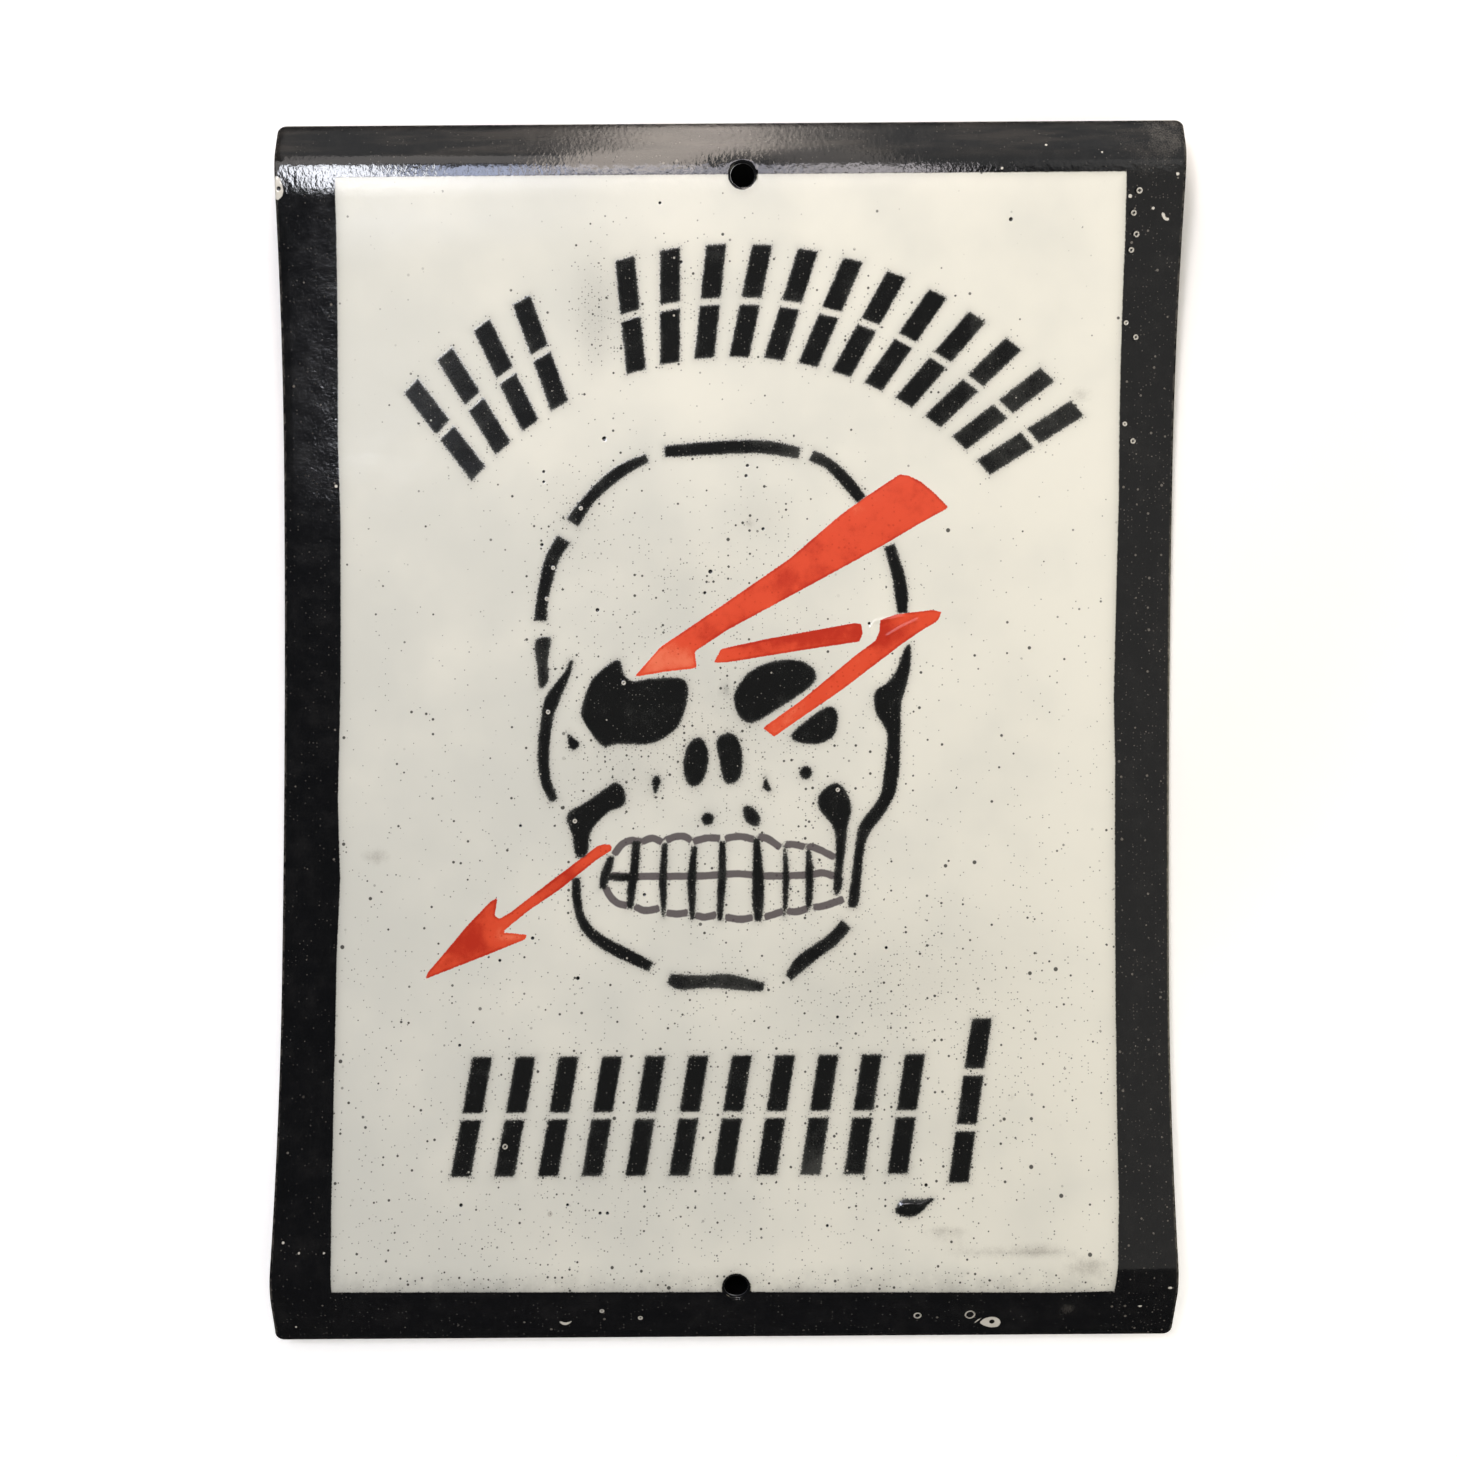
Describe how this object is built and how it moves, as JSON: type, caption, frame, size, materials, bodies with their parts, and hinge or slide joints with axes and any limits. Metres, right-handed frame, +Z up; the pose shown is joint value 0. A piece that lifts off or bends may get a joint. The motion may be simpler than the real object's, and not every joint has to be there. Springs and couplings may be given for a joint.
{
  "type": "enamel warning sign",
  "caption": "Enamelled steel hazard sign plate: a sheet pressed slightly hollow, its top and bottom lips folded back, with fixing holes near the middle of both ends.",
  "frame": {"origin": "midway between the two fixing holes, in a plane across both holes' walls", "axes": "+Z up the sign's height, +X across its width to the viewer's right, +Y through the fixing holes and out of the back, so that the printed front faces -Y"},
  "size_m": [0.21, 0.0109, 0.2858],
  "materials": {
    "fired_enamel": "gloss fired enamel, white panel in a black border on steel sheet"
  },
  "bodies": {
    "root": {"enamelled_sheet": "fired_enamel"}
  },
  "joints": []
}
